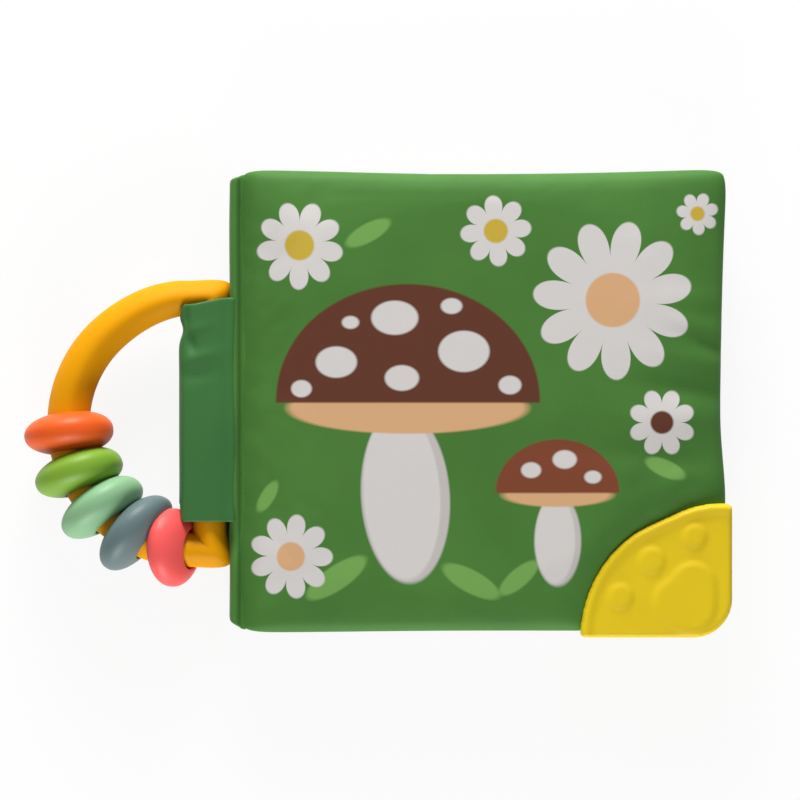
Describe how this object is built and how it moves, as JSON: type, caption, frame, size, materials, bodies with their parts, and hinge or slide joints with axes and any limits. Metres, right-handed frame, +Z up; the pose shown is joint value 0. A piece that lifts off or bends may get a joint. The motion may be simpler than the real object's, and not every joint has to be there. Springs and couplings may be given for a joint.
{
  "type": "crinkle cloth book",
  "caption": "Soft padded cloth book with crinkle leaves, a handle ring with sliding beads on its spine and a silicone teether at a cover corner.",
  "frame": {"origin": "centre of the closed book on the flat face of the back cover that it rests on", "axes": "+X from the spine to the opening edge, +Y to the head of the page, +Z up through the front cover"},
  "size_m": [0.2017, 0.132, 0.025],
  "materials": {
    "cover_cloth": "satin polyester with a print",
    "lining_cloth": "plain woven polyester",
    "page_cloth": "plain woven polyester",
    "tab_cloth": "plain woven polyester",
    "wadding": "loose polyester wadding",
    "crinkle_film": "thin crinkled film",
    "silicone": "matt moulded silicone",
    "ring_plastic": "satin moulded plastic",
    "orange_plastic": "satin moulded plastic",
    "lime_plastic": "satin moulded plastic",
    "mint_plastic": "satin moulded plastic",
    "blue_grey_plastic": "satin moulded plastic",
    "coral_plastic": "satin moulded plastic"
  },
  "bodies": {
    "book": {"back_cover_outer_panel": "cover_cloth", "back_cover_inner_panel": "lining_cloth", "back_cover_wadding": "wadding", "back_cover_crinkle_film": "crinkle_film", "spine_panel": "cover_cloth", "spine_lining_strip": "lining_cloth", "ring_tab": "tab_cloth"},
    "lower_leaf": {"lower_leaf_front_panel": "page_cloth", "lower_leaf_back_panel": "lining_cloth", "lower_leaf_crinkle_film": "crinkle_film"},
    "upper_leaf": {"upper_leaf_front_panel": "page_cloth", "upper_leaf_back_panel": "lining_cloth", "upper_leaf_crinkle_film": "crinkle_film"},
    "front_cover": {"front_cover_outer_panel": "cover_cloth", "front_cover_inner_panel": "lining_cloth", "front_cover_wadding": "wadding", "front_cover_crinkle_film": "crinkle_film", "corner_teether": "silicone"},
    "handle_ring": {"handle_ring": "ring_plastic"},
    "coral_bead": {"coral_bead": "coral_plastic"},
    "blue_grey_bead": {"blue_grey_bead": "blue_grey_plastic"},
    "mint_bead": {"mint_bead": "mint_plastic"},
    "lime_bead": {"lime_bead": "lime_plastic"},
    "orange_bead": {"orange_bead": "orange_plastic"}
  },
  "joints": [
    {"name": "front_cover_hinge", "type": "hinge", "parent": "book", "child": "front_cover", "pos_m": [-0.0675, 0, 0.0196], "axis": [0, -1, 0], "range_deg": [0, 155]},
    {"name": "upper_leaf_hinge", "type": "hinge", "parent": "book", "child": "upper_leaf", "pos_m": [-0.0675, 0, 0.0196], "axis": [0, -1, 0], "range_deg": [0, 103.5]},
    {"name": "lower_leaf_hinge", "type": "hinge", "parent": "book", "child": "lower_leaf", "pos_m": [-0.0675, 0, 0.0196], "axis": [0, -1, 0], "range_deg": [0, 52]},
    {"name": "ring_hinge", "type": "hinge", "parent": "book", "child": "handle_ring", "pos_m": [-0.0765, 0, 0.0125], "axis": [0, -1, 0], "range_deg": [-90, 0]},
    {"name": "coral_bead_slide", "type": "hinge", "parent": "handle_ring", "child": "coral_bead", "pos_m": [-0.0816, -0.0065, 0.0125], "axis": [0, 0, -1], "range_deg": [0, 14.5]},
    {"name": "blue_grey_bead_slide", "type": "hinge", "parent": "coral_bead", "child": "blue_grey_bead", "pos_m": [-0.0816, -0.0065, 0.0125], "axis": [0, 0, -1], "range_deg": [0, 14.5]},
    {"name": "mint_bead_slide", "type": "hinge", "parent": "blue_grey_bead", "child": "mint_bead", "pos_m": [-0.0816, -0.0065, 0.0125], "axis": [0, 0, -1], "range_deg": [0, 14.5]},
    {"name": "lime_bead_slide", "type": "hinge", "parent": "mint_bead", "child": "lime_bead", "pos_m": [-0.0816, -0.0065, 0.0125], "axis": [0, 0, -1], "range_deg": [0, 14.5]},
    {"name": "orange_bead_slide", "type": "hinge", "parent": "lime_bead", "child": "orange_bead", "pos_m": [-0.0816, -0.0065, 0.0125], "axis": [0, 0, -1], "range_deg": [0, 14.5]}
  ],
  "couplings": [
    {"joint": "upper_leaf_hinge", "follows": "front_cover_hinge", "ratio": 0.6667},
    {"joint": "lower_leaf_hinge", "follows": "front_cover_hinge", "ratio": 0.3333}
  ]
}
